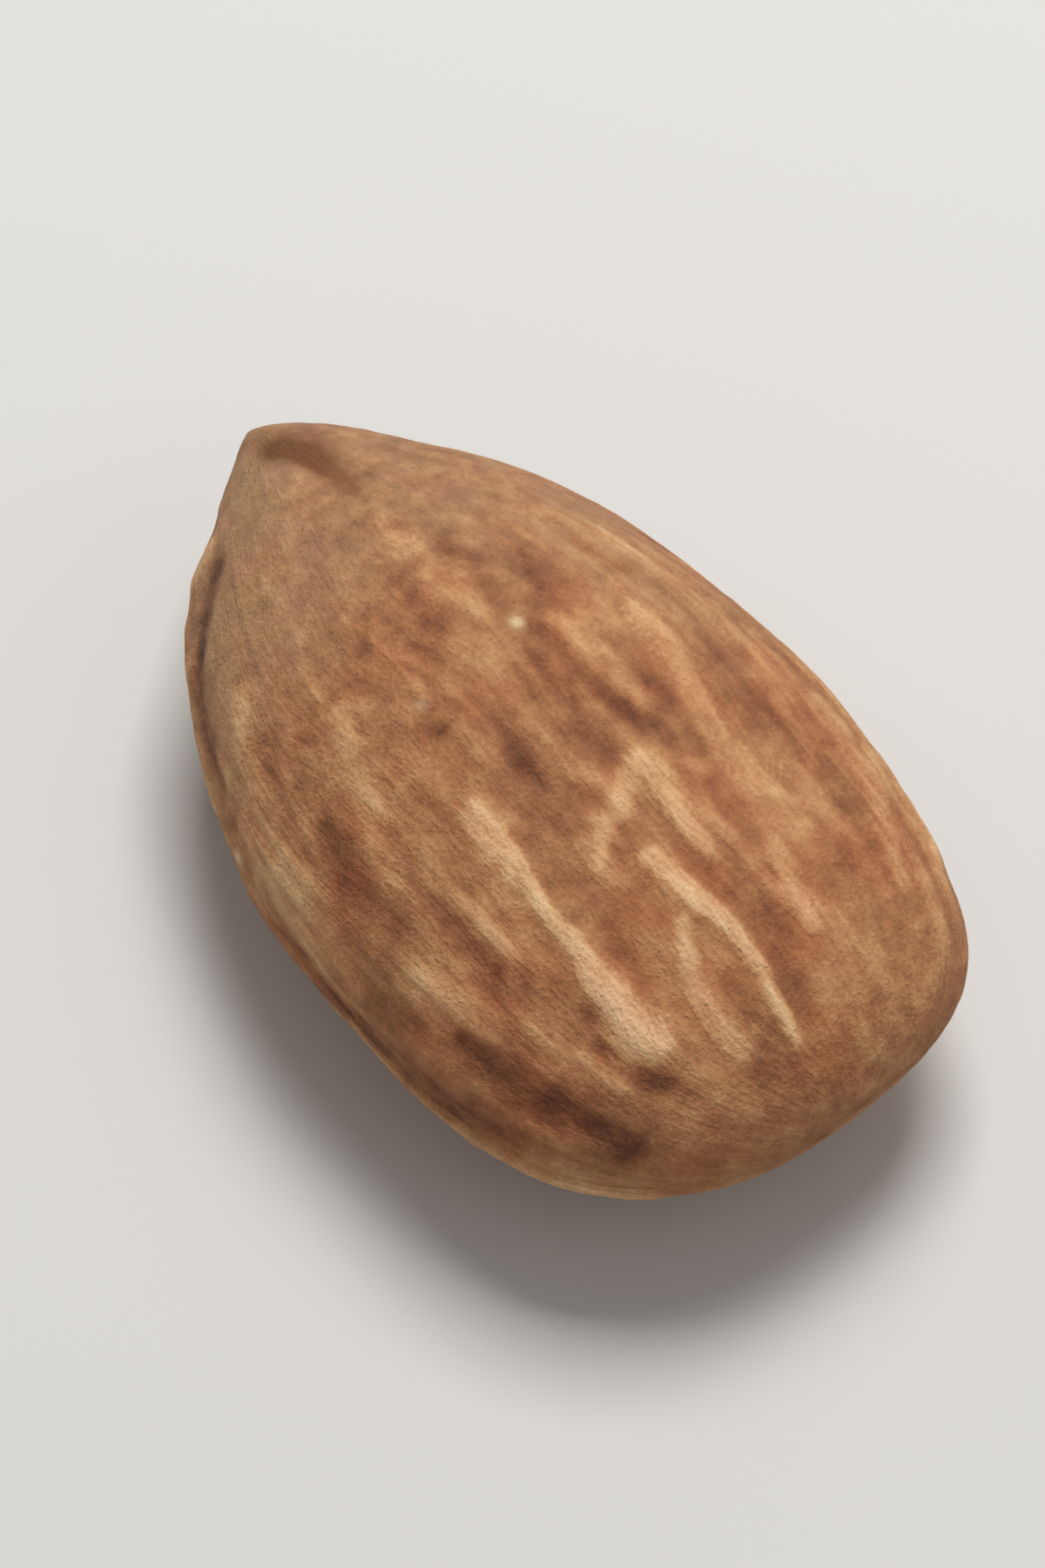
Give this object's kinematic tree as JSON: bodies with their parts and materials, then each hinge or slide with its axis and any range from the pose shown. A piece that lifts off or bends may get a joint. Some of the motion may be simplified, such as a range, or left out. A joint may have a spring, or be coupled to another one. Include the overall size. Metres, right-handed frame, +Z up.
{
  "type": "raw almond",
  "caption": "Shelled raw almond kernel with a pointed tip, a blunt round end and a veined matte brown skin, lying on its broad side.",
  "frame": {"origin": "middle of the kernel's bounding box, on the surface that it lies on", "axes": "+X along the kernel from the pointed tip towards the round end, +Y towards the edge opposite the seam, +Z up, through the thickness"},
  "size_m": [0.025, 0.0154, 0.0094],
  "materials": {
    "skin": "matte, dusty brown skin with pale raised veins"
  },
  "bodies": {
    "root": {"kernel": "skin"}
  },
  "joints": []
}
